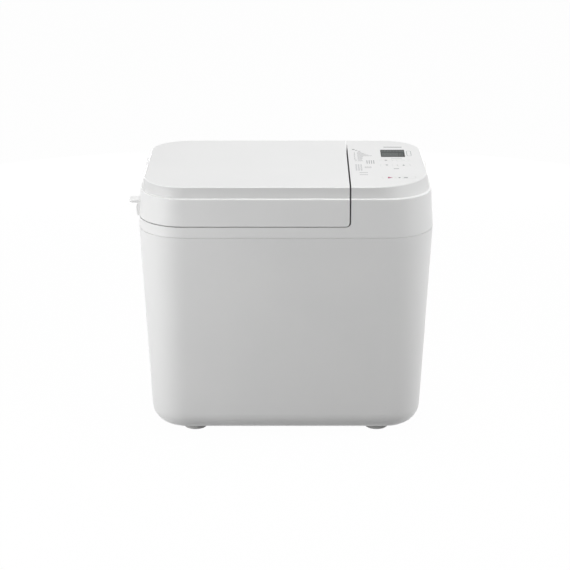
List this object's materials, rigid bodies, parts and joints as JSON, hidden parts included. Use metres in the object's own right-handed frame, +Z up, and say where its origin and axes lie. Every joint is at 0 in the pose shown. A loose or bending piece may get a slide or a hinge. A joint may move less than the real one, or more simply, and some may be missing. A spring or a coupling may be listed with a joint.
{
  "type": "bread machine",
  "caption": "Compact white bread machine with a hinged lid on the left, a flat control panel on the right, and a lift-out pan with a belt-driven kneading blade in a heated oven chamber.",
  "frame": {"origin": "middle of the whole machine's outline, on the plane that its feet stand on", "axes": "+X to the right as seen from the front, +Y to the back, +Z up"},
  "size_m": [0.4096, 0.2556, 0.3598],
  "materials": {
    "white_shell": "fine satin",
    "white_keys": "fine satin",
    "base_plastic": "fine grain",
    "foot_rubber": "matte",
    "screw_steel": "zinc plated",
    "display_pane": "polished",
    "display_cell": "satin",
    "board_laminate": "solder mask",
    "lamp_lens": "polished",
    "liner_aluminium": "satin",
    "bracket_steel": "zinc plated",
    "oven_steel": "satin",
    "heater_sheath": "oxidised",
    "ceramic_bush": "glazed",
    "pan_coating": "non-stick coating",
    "pan_aluminium": "cast",
    "bearing_bronze": "machined",
    "seal_rubber": "matte",
    "shaft_steel": "polished",
    "handle_plastic": "satin",
    "coupling_metal": "sintered",
    "pulley_plastic": "moulded",
    "motor_metal": "varnished laminations"
  },
  "bodies": {
    "housing": {"body_shell": "white_shell", "base_plate": "base_plastic", "foot_front_left": "foot_rubber", "foot_front_right": "foot_rubber", "foot_rear_left": "foot_rubber", "foot_rear_right": "foot_rubber", "base_screws": "screw_steel", "top_frame": "white_shell", "control_panel": "white_shell", "display_window": "display_pane", "display_module": "display_cell", "control_board": "board_laminate", "start_lamp": "lamp_lens", "hinge_bracket_left": "bracket_steel", "hinge_bracket_right": "bracket_steel", "hinge_pin_left": "screw_steel", "hinge_pin_right": "screw_steel", "oven_chamber": "oven_steel", "heater_element": "heater_sheath", "heater_bushes": "ceramic_bush", "temperature_sensor": "heater_sheath", "pan_clips": "bracket_steel", "drive_bearing": "bearing_bronze", "drive_belt": "seal_rubber", "chassis_plate": "bracket_steel", "motor_housing": "motor_metal", "motor_bolts": "screw_steel", "run_capacitor": "pulley_plastic", "cord_gland": "base_plastic"},
    "lid": {"lid_frame": "white_shell", "lid_cover": "white_shell", "lid_liner": "liner_aluminium", "lid_screws": "screw_steel"},
    "pan": {"bread_pan": "pan_coating", "pan_base": "pan_aluminium", "pan_bearing": "bearing_bronze", "shaft_seal": "seal_rubber", "handle_ears": "pan_aluminium"},
    "handle": {"pan_handle": "shaft_steel", "handle_grip": "handle_plastic"},
    "blade": {"kneading_blade": "pan_coating", "blade_shaft": "shaft_steel", "pan_coupling": "coupling_metal"},
    "drive": {"drive_shaft": "shaft_steel", "drive_coupling": "coupling_metal", "drive_pulley": "pulley_plastic"},
    "rotor": {"motor_shaft": "shaft_steel", "motor_pulley": "motor_metal", "motor_fan": "pulley_plastic"},
    "menu_key": {"menu_button": "white_keys"},
    "option_key": {"option_button": "white_keys"},
    "down_key": {"down_button": "white_keys"},
    "up_key": {"up_button": "white_keys"},
    "start_key": {"start_button": "white_keys"},
    "stop_key": {"stop_button": "white_keys"}
  },
  "joints": [
    {"name": "lid_hinge", "type": "hinge", "parent": "housing", "child": "lid", "pos_m": [0.006, 0.1148, 0.3209], "axis": [-1, 0, 0], "range_deg": [0, 70]},
    {"name": "pan_lift", "type": "slide", "parent": "housing", "child": "pan", "axis": [0, 0, 1], "range_m": [0, 0.018]},
    {"name": "pan_handle_swing", "type": "hinge", "parent": "pan", "child": "handle", "pos_m": [-0.049, -0.005, 0.229], "axis": [-1, 0, 0], "range_deg": [0, 228]},
    {"name": "drive_spin", "type": "hinge", "parent": "housing", "child": "drive", "pos_m": [-0.049, -0.005, 0.06], "axis": [0, 0, 1], "continuous": true},
    {"name": "blade_spin", "type": "hinge", "parent": "pan", "child": "blade", "pos_m": [-0.049, -0.005, 0.12], "axis": [0, 0, 1], "continuous": true},
    {"name": "motor_spin", "type": "hinge", "parent": "housing", "child": "rotor", "pos_m": [0.13, -0.005, 0.1], "axis": [0, 0, 1], "continuous": true},
    {"name": "menu_press", "type": "slide", "parent": "housing", "child": "menu_key", "axis": [0, 0, -1], "range_m": [0, 0.0006], "stiffness_N_per_m": 200, "springref_m": -0.002},
    {"name": "option_press", "type": "slide", "parent": "housing", "child": "option_key", "axis": [0, 0, -1], "range_m": [0, 0.0006], "stiffness_N_per_m": 200, "springref_m": -0.002},
    {"name": "down_press", "type": "slide", "parent": "housing", "child": "down_key", "axis": [0, 0, -1], "range_m": [0, 0.0006], "stiffness_N_per_m": 200, "springref_m": -0.002},
    {"name": "up_press", "type": "slide", "parent": "housing", "child": "up_key", "axis": [0, 0, -1], "range_m": [0, 0.0006], "stiffness_N_per_m": 200, "springref_m": -0.002},
    {"name": "start_press", "type": "slide", "parent": "housing", "child": "start_key", "axis": [0, 0, -1], "range_m": [0, 0.0006], "stiffness_N_per_m": 200, "springref_m": -0.002},
    {"name": "stop_press", "type": "slide", "parent": "housing", "child": "stop_key", "axis": [0, 0, -1], "range_m": [0, 0.0006], "stiffness_N_per_m": 200, "springref_m": -0.002}
  ],
  "couplings": [
    {"joint": "blade_spin", "follows": "drive_spin", "ratio": 1},
    {"joint": "motor_spin", "follows": "drive_spin", "ratio": 6.1111}
  ]
}
